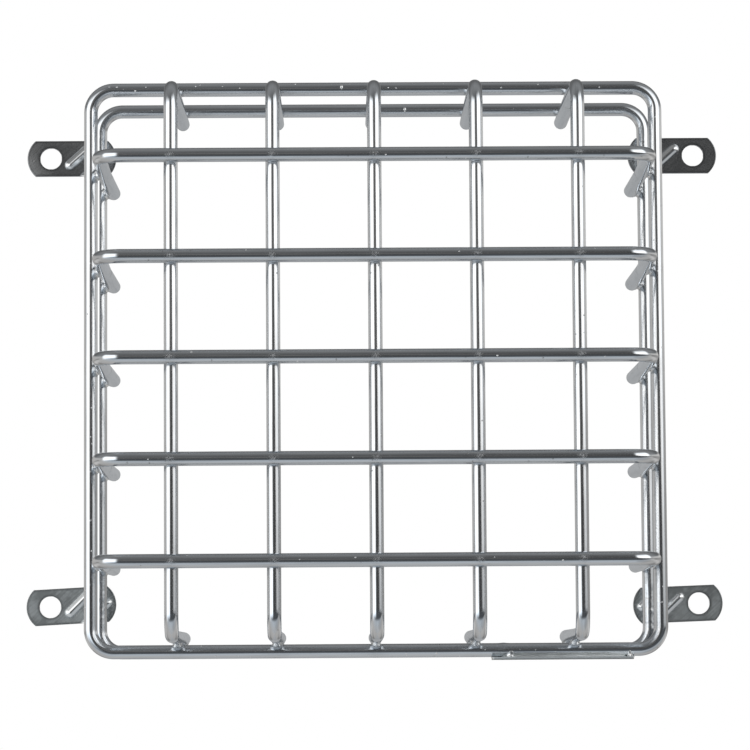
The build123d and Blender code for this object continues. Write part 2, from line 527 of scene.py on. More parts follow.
def stretched(tree, vector, scale):
    """Coordinates scaled by a different amount each way."""
    return node(tree, "ShaderNodeMapping", {"Vector": vector, "Scale": scale}).outputs["Vector"]


def cloud(tree, vector, scale, detail=3.0, roughness=0.55):
    """Soft noise from 0 to 1."""
    sockets = {"Vector": vector, "Scale": scale, "Detail": detail, "Roughness": roughness}
    return node(tree, "ShaderNodeTexNoise", sockets).outputs["Fac"]


def ranged(tree, value, low, high, to_low=0.0, to_high=1.0):
    """The value between low and high spread over another range."""
    sockets = {"Value": value, "From Min": low, "From Max": high, "To Min": to_low, "To Max": to_high}
    return node(tree, "ShaderNodeMapRange", sockets, clamp=True).outputs["Result"]


def plus(tree, a, b, clamp=False):
    """The sum of two values."""
    return node(tree, "ShaderNodeMath", {0: a, 1: b}, operation="ADD", use_clamp=clamp).outputs["Value"]


def times(tree, a, b):
    """The product of two values."""
    return node(tree, "ShaderNodeMath", {0: a, 1: b}, operation="MULTIPLY").outputs["Value"]


def tinted(tree, factor, a, b):
    """A colour between a and b."""
    return node(tree, "ShaderNodeMix", {0: factor, 6: a, 7: b}, data_type="RGBA").outputs[2]


def rgba(value, dimmed=1.0):
    """A colour for a socket, as it is or dimmed."""
    return (*(c * dimmed for c in value), 1.0)


def specks(tree, vector, scale, size, kept):
    """Small round spots, 1 inside, on a share of the cells."""
    cells = node(tree, "ShaderNodeTexVoronoi", {"Vector": vector, "Scale": scale, "Randomness": 1.0})
    chosen = node(tree, "ShaderNodeSeparateColor", {"Color": cells.outputs["Color"]}).outputs["Red"]
    spot = ranged(tree, cells.outputs["Distance"], size, 0.4 * size)
    return times(tree, spot, ranged(tree, chosen, 1.0 - kept, 1.0 - kept + 0.02))


def bumped(tree, *layers):
    """The surface raised by layers of heights, each with its distance in metres."""
    normal = None
    for height, distance in layers:
        sockets = {"Height": height, "Distance": distance, "Strength": 1.0}
        if normal is not None:
            sockets["Normal"] = normal
        normal = node(tree, "ShaderNodeBump", sockets).outputs["Normal"]
    return normal


def metal(tree, base, roughness, normal):
    """Bare plated metal as the tree's surface."""
    sockets = {"Base Color": base, "Metallic": 1.0, "Roughness": roughness, "Normal": normal}
    shader = node(tree, "ShaderNodeBsdfPrincipled", sockets)
    node(tree, "ShaderNodeOutputMaterial", {"Surface": shader.outputs["BSDF"]})


def plated_wire(finish):
    """Bright plating over drawn wire: draw lines, dents, cloudy streaks, pits, heat and electrode marks."""
    if "plated_wire" in bpy.data.materials:
        return bpy.data.materials["plated_wire"]
    material, tree = finish_tree("plated_wire")
    lay = marked(tree, "wire_lay", "Vector")
    lines = cloud(tree, stretched(tree, lay, (4200, 4200, 40)), 1.0, 2.0)
    dents = cloud(tree, stretched(tree, lay, (210, 210, 40)), 1.0, 2.0)
    streaks = cloud(tree, stretched(tree, lay, (800, 800, 48)), 1.0, 3.0)
    pits = specks(tree, lay, 520, 0.20, 0.07)
    scorch = times(tree, marked(tree, "weld_heat"), ranged(tree, cloud(tree, lay, 900, 4.0), 0.35, 0.75))
    worn = times(tree, marked(tree, "electrode"), ranged(tree, cloud(tree, lay, 1600, 3.0), 0.30, 0.62))
    lumps = times(tree, marked(tree, "lumpy"), cloud(tree, lay, 400, 1.0))
    dull = plus(tree, ranged(tree, streaks, 0.45, 0.75, 0.0, 0.8), times(tree, lines, 0.15), clamp=True)
    base = tinted(tree, dull, rgba(finish.plating), rgba(finish.dull_plating))
    rough = ranged(tree, dull, 0.0, 1.0, finish.wire_gloss, finish.wire_gloss + 0.07)
    for mark, darker, rougher in ((scorch, 0.30, 0.12), (worn, 0.25, 0.26), (pits, 0.6, 0.25)):
        base = tinted(tree, times(tree, mark, darker), base, rgba(finish.burnt))
        rough = plus(tree, rough, times(tree, mark, rougher), clamp=True)
    normal = bumped(tree, (dents, 0.04 * MM), (lumps, 0.20 * MM), (lines, 0.0016 * MM), (worn, -0.03 * MM),
                    (pits, -0.03 * MM))
    metal(tree, base, rough, normal)
    return material


def plated_strip(name, base_colour, finish, gloss, dimmed):
    """Rolled strip under plating: slanted grain, cloudy tone, scratches, pits and painted shade along its
    cut edges.
    Its dull places keep the dimmed share of its colour, and what is raised is rubbed bright."""
    if name in bpy.data.materials:
        return bpy.data.materials[name]
    material, tree = finish_tree(name)
    place = node(tree, "ShaderNodeTexCoord").outputs["Object"]
    sockets = {"Vector": place, "Rotation": (0.0, GRAIN_SLANT, 0.0)}
    slanted = node(tree, "ShaderNodeMapping", sockets).outputs["Vector"]
    grain = cloud(tree, stretched(tree, slanted, (120, 900, 1500)), 1.0, 2.0)
    tone = cloud(tree, place, 95, 2.0)
    patches = cloud(tree, place, 300, 3.0)
    scratches = ranged(tree, cloud(tree, stretched(tree, slanted, (7000, 900, 260)), 1.0, 1.0), 0.70, 0.76)
    pits = specks(tree, place, 420, 0.16, 0.08)
    raised = marked(tree, "raised")
    dull = ranged(tree, tone, 0.38, 0.62, 0.0, 0.70)
    dull = plus(tree, dull, ranged(tree, patches, 0.40, 0.70, 0.0, 0.45))
    dull = plus(tree, dull, ranged(tree, grain, 0.40, 0.68, 0.0, 0.40), clamp=True)
    base = tinted(tree, dull, rgba(base_colour), rgba(base_colour, dimmed))
    # Painted shade along the cut edges: the colour falls towards 0.30 of the plating there
    base = tinted(tree, times(tree, marked(tree, "rim_shade"), 0.9), base, rgba(base_colour, 0.30))
    base = tinted(tree, times(tree, pits, 0.5), base, rgba(finish.burnt))
    base = tinted(tree, ranged(tree, raised, 0.05, 0.4, 0.0, 0.85), base, rgba(finish.weld_plating))
    rough = plus(tree, dull, times(tree, scratches, 0.4))
    rough = ranged(tree, rough, 0.0, 1.4, gloss, gloss + 0.12)
    rubbed = node(tree, "ShaderNodeMix", {0: ranged(tree, raised, 0.0, 0.5), 2: rough, 3: 0.14})
    brushed = plus(tree, grain, times(tree, scratches, 0.3))
    normal = bumped(tree, (tone, 0.05 * MM), (brushed, 0.002 * MM), (pits, -0.02 * MM))
    metal(tree, base, rubbed.outputs[0], normal)
    return material


def plated_plate(finish):
    """The bottom plate's own strip, which its fillet shares."""
    return plated_strip("plated_plate", finish.plate_plating, finish, finish.plate_gloss, 0.80)


def plated_weld(finish):
    """Plating over a weld bead: smooth and bright, a little lumpy, with a few dark pores."""
    if "plated_weld" in bpy.data.materials:
        return bpy.data.materials["plated_weld"]
    material, tree = finish_tree("plated_weld")
    place = node(tree, "ShaderNodeTexCoord").outputs["Object"]
    lumps = cloud(tree, place, 420, 1.0)
    patches = cloud(tree, place, 450, 2.0)
    pores = specks(tree, place, 900, 0.14, 0.02)
    dull = ranged(tree, patches, 0.45, 0.75, 0.0, 0.7)
    base = tinted(tree, dull, rgba(finish.weld_plating), rgba(finish.dull_plating))
    base = tinted(tree, times(tree, pores, 0.6), base, rgba(finish.burnt))
    rough = ranged(tree, patches, 0.35, 0.75, 0.22, 0.34)
    metal(tree, base, rough, bumped(tree, (lumps, 0.03 * MM), (pores, -0.04 * MM)))
    return material


# Pieces


def bend_bars(context, kind, first, outline, along, across, places):
    """Like bars side by side: each follows the outline, which runs along and to the back, at its own
    place across. Their wires are numbered from first."""
    sizes, finish = context.scene.guard_sizes, context.scene.guard_finish
    lay = Layout(sizes)
    radii = (sizes.lean_bend, sizes.bar_bend, sizes.bar_bend, sizes.lean_bend)
    for number, place in enumerate(places, start=1):
        bar_node = f"{kind}_bar_{number}"
        stations = bent_wire([along * reach + BACK * y + across * place for reach, y in outline], radii)
        bar = wire_piece(f"{kind}_wire_{number}", stations, across, lay, plated_wire(finish),
                         first + number - 1, lay.welds_near(bar_node), cut=sizes.cut_edge)
        fit_piece(bar, "wire", bar_node)


class GUARD_OT_cross_bars(bpy.types.Operator):
    """Bends the five cross bars across the front"""

    bl_idname = "guard.cross_bars"
    bl_label = "Cross bars"

    def execute(self, context):
        sizes = context.scene.guard_sizes
        lay = Layout(sizes)
        outline = lay.bar_outline(lay.leg_x, sizes.cross_lean, lay.cross_y)
        bend_bars(context, "cross", 1, outline, RIGHT, UP, lay.cross_z)
        return {"FINISHED"}


class GUARD_OT_upright_bars(bpy.types.Operator):
    """Bends the five upright bars behind the cross bars"""

    bl_idname = "guard.upright_bars"
    bl_label = "Upright bars"

    def execute(self, context):
        sizes = context.scene.guard_sizes
        lay = Layout(sizes)
        outline = lay.bar_outline(lay.leg_z, sizes.upright_lean, lay.upright_y)
        bend_bars(context, "upright", 1 + BAR_COUNT, outline, UP, RIGHT, lay.upright_x)
        return {"FINISHED"}


class GUARD_OT_rings(bpy.types.Operator):
    """Bends the two rings around the legs and welds their ends"""

    bl_idname = "guard.rings"
    bl_label = "Rings"

    def execute(self, context):
        sizes, finish = context.scene.guard_sizes, context.scene.guard_finish
        lay = Layout(sizes)
        x, z = lay.ring_x, lay.ring_z
        lumpy = [place for place, *_ in lay.tab_welds()]
        rings = (("front", lay.front_ring_y), ("back", lay.back_ring_y))
        for number, (name, y) in enumerate(rings, start=1 + 2 * BAR_COUNT):
            seam = Vector((lay.seam_x, y, -z))
            corners = [seam, (x, y, -z), (x, y, z), (-x, y, z), (-x, y, -z), seam]
            stations = bent_wire(corners, (sizes.ring_bend,) * 4)
            welds = lay.welds_near(f"{name}_ring") + [seam]
            ring = wire_piece(f"{name}_ring_wire", stations, BACK, lay, plated_wire(finish), number, welds,
                              seam=sizes.ring_seam, lumpy=lumpy)
            fit_piece(ring, "wire", f"{name}_ring")
        return {"FINISHED"}


class TabForm:
    """The flat form of a tab, from its hole: u runs towards the guard and v across the tab."""

    def __init__(self, sizes, hole_to_ring):
        self.half = sizes.tab_width / 2
        self.crown = TAB_CROWN * sizes.tab_width
        self.outer_end = -sizes.tab_end
        self.inner_end = sizes.tab_length - sizes.tab_end
        self.outer_centre = self.outer_end + self.crown
        self.inner_centre = self.inner_end - self.crown
        self.hole = sizes.hole / 2
        self.rib_reach = RIB_SPREAD * sizes.rib_width
        self.ribs = []
        for (along, over), heading in ((OUTER_RIB, RIB_SLANT), (INNER_RIB, RIB_SLANT + 180)):
            a = math.radians(heading)
            self.ribs.append((hole_to_ring + along, over, math.cos(a), math.sin(a)))

    def outline(self, inset):
        """Points round the tab, pulled in by inset; their count doesn't depend on it."""
        crown = self.crown - inset
        reach = math.asin((self.half - inset) / crown)
        arcs = []
        for centre, facing in ((self.inner_centre, 0.0), (self.outer_centre, math.pi)):
            angles = [facing - reach + 2 * reach * i / ARC_STEPS for i in range(ARC_STEPS + 1)]
            arcs.append([(centre + crown * math.cos(a), crown * math.sin(a)) for a in angles])
        points = []
        for arc, after in zip(arcs, reversed(arcs)):
            (u, v), (next_u, next_v) = arc[-1], after[0]
            points += arc
            points += [(u + (next_u - u) * i / SIDE_STEPS, v + (next_v - v) * i / SIDE_STEPS)
                       for i in range(1, SIDE_STEPS)]
        return points

    def hole_edge(self, inset):
        """Points round the hole, widened by inset."""
        radius = self.hole + inset
        angles = [2 * math.pi * i / HOLE_STEPS for i in range(HOLE_STEPS)]
        return [(radius * math.cos(a), radius * math.sin(a)) for a in angles]

    def from_edge(self, u, v):
        """Distance in from the nearest edge of the tab or of its hole."""
        found = [self.half - abs(v), math.hypot(u, v) - self.hole]
        if u > self.inner_centre:
            found.append(self.crown - math.hypot(u - self.inner_centre, v))
        if u < self.outer_centre:
            found.append(self.crown - math.hypot(u - self.outer_centre, v))
        return min(found)

    def face_points(self, clear):
        """Even points on the face, in staggered rows, clear of every edge."""
        found = []
        for row, v in enumerate(np.arange(-self.half, self.half, ROW_PITCH * TAB_PITCH)):
            start = self.outer_end + (row % 2) * TAB_PITCH / 2
            along = np.arange(start, self.inner_end, TAB_PITCH)
            found += [(u, v) for u in along if self.from_edge(u, v) > clear]
        return found

    def raised(self, u, v):
        """Height of the ribs over the flat strip, as a share of the rib's height."""
        best = 0.0
        for start_u, start_v, cos_a, sin_a in self.ribs:
            du, dv = u - start_u, v - start_v
            along, over = du * cos_a + dv * sin_a, dv * cos_a - du * sin_a
            away = math.hypot(min(along, 0.0), over) / self.rib_reach
            best = max(best, (0.5 + 0.5 * math.cos(math.pi * min(1.0, away))) ** RIB_FULLNESS)
        return best


def drop_at_edge(inset, radius):
    """How far a rounded edge lies below the face, at a distance in from the edge."""
    left = max(0.0, radius - inset)
    return radius - math.sqrt(max(0.0, radius * radius - left * left))


def flat_tab(form, insets):
    """A tab before it is pressed: its points, how far in from an edge each lies, its faces, and the
    points along its outer edge and along its hole."""
    flat, depth, edges = [], [], []
    for edge in (form.outline, form.hole_edge):
        loops = []
        for inset in insets:
            points = edge(inset)
            loops.append(range(len(flat), len(flat) + len(points)))
            flat += points
            depth += [inset] * len(points)
        edges.append(loops)
    # The face inside the rims: even points, joined without crossing the rims
    outline_rim, hole_rim = edges[0][-1], edges[1][-1]
    rim = [*outline_rim, *hole_rim]
    borders = closed(range(len(outline_rim))) + closed(range(len(outline_rim), len(rim)))
    seeds = [flat[i] for i in rim] + form.face_points(insets[-1] + TAB_PITCH / 2)
    joined = geometry.delaunay_2d_cdt([Vector(seed) for seed in seeds], borders, [], 2, 1e-7)
    points, cells, origins = joined[0], joined[2], joined[3]
    ids = []
    for point, came in zip(points, origins):
        if came and came[0] < len(rim):
            ids.append(rim[came[0]])
        else:
            ids.append(len(flat))
            flat.append((point.x, point.y))
            depth.append(insets[-1])
    faces = []
    for cell in cells:
        centre = sum((points[i] for i in cell), Vector((0, 0))) / len(cell)
        if centre.length >= form.hole:
            faces.append([ids[i] for i in cell])
    for loops in edges:
        for outer, inner in zip(loops, loops[1:]):
            faces += [[a, b, d, c] for (a, b), (c, d) in zip(closed(outer), closed(inner))]
    return flat, depth, faces, edges[0][0], edges[1][0]


def pressed_tab(name, hole, inward, across, sizes, material, hole_to_ring, rubbed):
    """A punched tab with a crowned outline, a fixing hole and two pressed ribs that are hollow behind.
    It is thinner by rubbed at the low corner of its outer end."""
    form = TabForm(sizes, hole_to_ring)
    insets = [part * sizes.punch_edge for part in EDGE_STEPS]
    flat, depth, sheet, outline, hole_edge = flat_tab(form, insets)
    ridge = [form.raised(u, v) for u, v in flat]
    front, rear = [], []
    for (u, v), inset, rise in zip(flat, depth, ridge):
        low = max(0.0, -u - RUB_SLANT * v * across.z - RUB_START) / RUB_RUN
        height = sizes.tab_thick + rise * sizes.rib_height
        front.append((u, v, height - drop_at_edge(inset, sizes.punch_edge) - rubbed * low * low))
        hollow = RIB_HOLLOW * rise * sizes.rib_height
        rear.append((u, v, hollow + DIE_DROP * drop_at_edge(inset, DIE_EDGE * sizes.punch_edge)))
    verts = [hole + inward * u + across * v + FRONT * w for u, v, w in front + rear]
    total = len(flat)
    handed = inward.cross(across).dot(FRONT) > 0
    faces = []
    for face in sheet:
        turn = sum(a.cross(b) for a, b in closed(Vector(flat[i]) for i in face))
        forward = face if (turn > 0) == handed else face[::-1]
        faces.append(tuple(forward))
        faces.append(tuple(total + i for i in reversed(forward)))
    for edge, flip in ((outline, False), (hole_edge, True)):
        for a, b in closed(edge):
            wall = (b, a, total + a, total + b)
            faces.append(wall if handed != flip else wall[::-1])
    made = link(name, verts, faces, material)
    # Painted shade along the cut edges of the tab and of its hole, strongest right at the edge
    away = np.array([form.from_edge(u, v) for u, v in flat])
    rim_shading = np.clip((RIM_SHADE_NONE - away) / (RIM_SHADE_NONE - RIM_SHADE_FULL), 0.0, 1.0)
    mark_points(made, "rim_shade", [rim_shading, rim_shading])
    mark_points(made, "raised", [ridge, ridge])
    return made


class GUARD_OT_tabs(bpy.types.Operator):
    """Presses the four mounting tabs"""

    bl_idname = "guard.tabs"
    bl_label = "Mounting tabs"

    def execute(self, context):
        sizes, finish = context.scene.guard_sizes, context.scene.guard_finish
        lay = Layout(sizes)
        bright = plated_strip("plated_tab", finish.tab_plating, finish, finish.tab_gloss, 0.46)
        dull = plated_strip("dull_plated_tab", finish.dull_tab_plating, finish, finish.dull_tab_gloss, 0.46)
        for name, hole, inward, across in lay.tab_frames():
            _, level, _, rubbed = TABS[name]
            strip = bright if level > 0 else dull
            tab = pressed_tab(f"pressed_tab_{name}", hole, inward, across, sizes, strip,
                              lay.hole_x - lay.ring_x, rubbed)
            fit_piece(tab, "tab", f"tab_{name}")
        return {"FINISHED"}


class GUARD_OT_bottom_plate(bpy.types.Operator):
    """Shears the flat plate under the front ring"""

    bl_idname = "guard.bottom_plate"
    bl_label = "Bottom plate"

    def execute(self, context):
        low, high = BOTTOM_PLATE
        half = (high - low) / 2
        middle = (high + low) / 2
        corner, corner_steps = 0.9 * MM, 8
        # The shear leaves a slanted edge, furthest out at the top: height, inset and how much painted shade
        # darkens it, most at the bottom
        levels = ((-1.0, 0.30 * MM, 1.0), (-0.92, 0.23 * MM, 1.0), (-0.1, 0.19 * MM, 0.35),
                  (0.93, 0.0, 0.0), (1.0, 0.05 * MM, 0.0))
        verts, plate_shading = [], []
        for level, inset, shade_share in levels:
            for quarter, (side_x, side_y) in enumerate(((1, 1), (-1, 1), (-1, -1), (1, -1))):
                for i in range(corner_steps + 1):
                    a = math.pi / 2 * (quarter + i / corner_steps)
                    x = side_x * (half.x - corner) + (corner - inset) * math.cos(a)
                    y = side_y * (half.y - corner) + (corner - inset) * math.sin(a)
                    verts.append(middle + Vector((x, y, level * half.z)))
                    plate_shading.append(shade_share)
        count = 4 * (corner_steps + 1)
        faces = band_faces(len(levels), count)
        faces.append(tuple(reversed(range(count))))
        faces.append(tuple(range(len(verts) - count, len(verts))))
        plate = link("sheared_plate", verts, faces, plated_plate(context.scene.guard_finish))
        plate.data.set_sharp_from_angle(angle=math.radians(50))
        # Painted shade: a dark line along the plate's lower edge that fades out by its middle
        mark_points(plate, "rim_shade", plate_shading)
        fit_piece(plate, "plate", "bottom_plate")
        return {"FINISHED"}


def weld_bead(place, over, under, contact, reach, radii, seed, waist=0.16, round_off=1.0):
    """A fillet between two wires that touch: over lies on the contact's side, under on the other one.
    reach is its extent along over and along under, and radii are the two wires', where 0 is a flat
    face. It is narrower by its waist between the two, and has straighter sides where round_off is
    under 1."""
    around, rows = 36, 9

    def sag(offset, radius):
        """How far a wire falls away from its top line, this far to the side of it."""
        if not radius:
            return 0.0
        offset = min(abs(offset), 0.985 * radius)
        return radius - math.sqrt(radius * radius - offset * offset)

    verts = []
    for k in range(rows):
        t = k / (rows - 1)
        for i in range(around):
            a = 2 * math.pi * i / around
            x, y = math.cos(a), math.sin(a)
            wobble = 1.0 + 0.10 * noise.noise(Vector((1.3 * x, 1.3 * y, 7.3 * seed)))
            lumps = 1.0 + 0.03 * noise.noise(Vector((3.0 * x, 3.0 * y + 5.1 * seed, 2.5 * t)))
            spread = wobble * lumps * (1.0 - waist * math.sin(math.pi * t))
            along = reach[0] * math.copysign(abs(x) ** round_off, x) * spread
            beside = reach[1] * math.copysign(abs(y) ** round_off, y) * spread
            top = sag(beside, radii[0]) + SUNK
            bottom = -sag(along, radii[1]) - SUNK
            verts.append(place + over * along + under * beside + contact * (top + (bottom - top) * t))
    faces = band_faces(rows, around)
    for k in (0, rows - 1):
        ring = range(k * around, (k + 1) * around)
        verts.append(sum((verts[i] for i in ring), Vector()) / around)
        for i, j in closed(ring):
            side = (i, j, len(verts) - 1)
            faces.append(side if k else side[::-1])
    if over.cross(under).dot(contact) > 0:
        faces = [face[::-1] for face in faces]
    return verts, faces


def droplet(foot, out, along, size, stretch, radius):
    """A drop of weld metal that froze on a wire of this radius, stretched round it."""
    over = out.cross(along)
    around, rows = 16, 5
    verts = []
    for k in range(rows):
        rise = math.pi / 2 * k / rows
        for i in range(around):
            a = 2 * math.pi * i / around
            beside = stretch * size * math.cos(rise) * math.sin(a)
            sunk = radius - math.sqrt(radius * radius - beside * beside) + SUNK
            verts.append(foot + along * (size * math.cos(rise) * math.cos(a)) + over * beside
                         + out * (DROP_HEIGHT * size * math.sin(rise) - sunk))
    verts.append(foot + out * (DROP_HEIGHT * size - SUNK))
    faces = band_faces(rows, around)
    top = rows * around
    faces += [(i, j, top) for i, j in closed(range(top - around, top))]
    faces.append(tuple(reversed(range(around))))
    return verts, faces


def weld_piece(name, beads, material):
    """Several beads as one piece."""
    verts, faces = [], []
    for bead_verts, bead_faces in beads:
        start = len(verts)
        verts += bead_verts
        faces += [tuple(start + i for i in face) for face in bead_faces]
    return link(name, verts, faces, material)


class GUARD_OT_welds(bpy.types.Operator):
    """Lays the weld beads at crossings, legs, tabs and plate"""

    bl_idname = "guard.welds"
    bl_label = "Weld beads"

    def execute(self, context):
        sizes, finish = context.scene.guard_sizes, context.scene.guard_finish
        lay = Layout(sizes)
        weld_metal = plated_weld(finish)
        wires = (lay.r, lay.r)
        reach = (sizes.crossing_weld, sizes.crossing_weld)
        beads = [weld_bead(*weld, reach, wires, n) for n, weld in enumerate(lay.crossing_welds())]
        fit_piece(weld_piece("crossing_welds", beads, weld_metal), "wire")
        beads = []
        for n, weld in enumerate(lay.leg_welds()):
            size = sizes.leg_weld * (1.0 + 0.10 * noise.noise(Vector((n * 3.7, 0.5, 0.2))))
            if weld[3].z:
                size *= UPRIGHT_LEG_WELD
            beads.append(weld_bead(*weld, (size, size), wires, LEG_SEED + n))
        fit_piece(weld_piece("leg_welds", beads, weld_metal), "wire")
        reach = (sizes.tab_weld, TAB_WELD_DEPTH * sizes.tab_weld)
        radii = (lay.r, RIB_ROUND * sizes.rib_width)
        beads = [weld_bead(*weld, reach, radii, TAB_SEED + n) for n, weld in enumerate(lay.tab_welds())]
        fit_piece(weld_piece("tab_welds", beads, weld_metal), "tab")
        self.plate_welds(lay, plated_plate(finish), weld_metal)
        drops = [droplet(*spot, lay.r) for spot in lay.spatter()]
        fit_piece(weld_piece("weld_spatter", drops, weld_metal), "wire")
        return {"FINISHED"}

    def plate_welds(self, lay, strip, weld_metal):
        """The long fillet between the plate and the front ring, and a weld at each end of it."""
        low, high = BOTTOM_PLATE

        def plate_bead(x, reach, seed, round_off=1.0):
            """A bead on the plate's flat face, under the ring."""
            place = Vector((x, lay.front_ring_y, high.z + WELD_ROOM))
            return weld_bead(place, RIGHT, BACK, UP, reach, (lay.r, 0.0), seed, PLATE_WAIST, round_off)

        middle, half = (low.x + high.x) / 2, (high.x - low.x) / 2
        fillet = plate_bead(middle, (half - FILLET_INSET, FILLET_DEPTH), PLATE_SEED, FILLET_ROUND_OFF)
        fit_piece(weld_piece("plate_fillet", [fillet], strip), "plate")
        left_end = plate_bead(low.x + LEFT_END_INSET, LEFT_END_REACH, PLATE_SEED + 1)
        right_end = plate_bead(high.x - RIGHT_END_INSET, RIGHT_END_REACH, PLATE_SEED + 2)
        fit_piece(weld_piece("plate_end_welds", [left_end, right_end], weld_metal), "plate")


# Stage


def between(value, stops):
    """A level read from a short list of places and levels, straight between them."""
    return float(np.interp(value, [place for place, _ in stops], [level for _, level in stops]))


def towards(level, goal, part):
    """The level moved part of the way to a goal."""
    return level + (goal - level) * part


def rising(value, middle, fade):
    """From 0 to 1 over a fade round the middle."""
    part = min(1.0, max(0.0, (value - middle) / fade + 0.5))
    return part * part * (3 - 2 * part)


def soft_band(value, low, high, fade):
    """1 between low and high, falling to 0 over a fade round each of them."""
    return min(rising(value, low, fade), rising(-value, -high, fade))


class Surround:
    """The studio that the plating mirrors: dark in front, white at both sides, a grey table below.
    Directions are in degrees: up from level, right from straight ahead, and turn from straight ahead."""

    def __init__(self, stage):
        dark, rear, table = stage.dark_front, stage.grey_rear, stage.grey_table
        self.stage = stage
        # Walls and ceiling, by turn
        self.walls = ((0, dark), (24, dark * 1.2), (40, dark * 1.45), (57, dark * 2.0), (75, dark * 2.7),
                      (95, rear * 0.66), (112, rear * 0.55), (130, rear * 0.36), (158, rear * 0.40),
                      (170, rear), (180, rear))
        # Table and floor, by the angle down and round to the back
        self.below = ((0, dark), (27, dark), (33, table * 0.55), (38, table), (55, table),
                      (75, table * 0.95), (100, table * 0.92), (125, table * 0.80), (138, rear * 0.45),
                      (160, rear * 0.45), (168, rear * 0.92), (180, rear))
        # Grey at the left and at the right behind, the right one by up
        self.left_rear = rear * 1.30
        self.right_rear = ((1, rear * 0.85), (3, rear * 0.95), (5, rear * 1.35), (7, rear * 1.6))

    def wall_level(self, turn, up, right):
        """Walls and ceiling: uneven in front, dim low down and lighter in a patch over the camera."""
        level = between(turn, self.walls)
        if turn < 75:
            lean = min(8.0, max(-6.0, right)) * rising(up, 1, 6)
            level *= 1 - 0.045 * lean * (1 - turn / 75)
        level *= 1 - 0.3 * soft_band(right, -40, 75, 30) * soft_band(up, -8, 3, 4)
        return level * (1 + 0.7 * soft_band(right, -5, 5, 5) * soft_band(up, 4, 15, 6))

    def table_level(self, ray, up, right):
        """Table and floor, a little darker at the right in front."""
        level = between(math.degrees(math.atan2(-ray.z, -ray.y)), self.below)
        return level * (1 - 0.2 * soft_band(right, 25, 85, 20) * soft_band(up, -62, -15, 16))

    def white_part(self, up, right):
        """How much of the white sides is in a direction."""
        inner = min(38.0, max(19.0, 38.0 - 2.2 * up))
        left_side = soft_band(right, -75, -20, 16) * rising(up, -16, 28) * rising(-up, -31, 26)
        right_side = soft_band(right, inner, 75, 14) * rising(up, 1.05, 11.6) * rising(-up, -42, 36)
        return max(left_side, right_side)

    def colour(self, ray, up, right):
        """Colour of the light that comes from a direction."""
        stage = self.stage
        turn = math.degrees(ray.angle(FRONT))
        aside = soft_band(abs(right), 78, 156, 26) * rising(-up, -16, 10)
        level = self.wall_level(turn, up, right)
        level = towards(level, self.left_rear if right < 0 else between(up, self.right_rear), aside)
        if up < 0:
            level = towards(level, self.table_level(ray, up, right), rising(-up, 5, 6))
        level = towards(level, stage.white_sides, self.white_part(up, right))
        low_panels = soft_band(abs(right), 101, 150, 20) * soft_band(up, -32, -11, 14)
        level = towards(level, stage.rear_panels, low_panels)
        low_rear = rising(abs(right), 158, 16) * soft_band(up, -52, -17, 10)
        level = towards(level, 0.8 * stage.grey_table, low_rear)
        cool = rising(-turn, -60, 40) * (rising(-up, 2, 8) - 0.6 * soft_band(up, -1, 14, 6))
        cool += 0.3 * rising(turn, 165, 14) - 0.75 * aside
        return (level * (1 - COOL_TINT * cool), level, level * (1 + COOL_TINT * cool), 1.0)


def seen_white(tree):
    """1 for a ray from the camera, from a shiny surface or through glass."""
    path = node(tree, "ShaderNodeLightPath")
    seen = plus(tree, path.outputs["Is Camera Ray"], path.outputs["Is Glossy Ray"])
    return plus(tree, seen, path.outputs["Is Transmission Ray"], clamp=True)


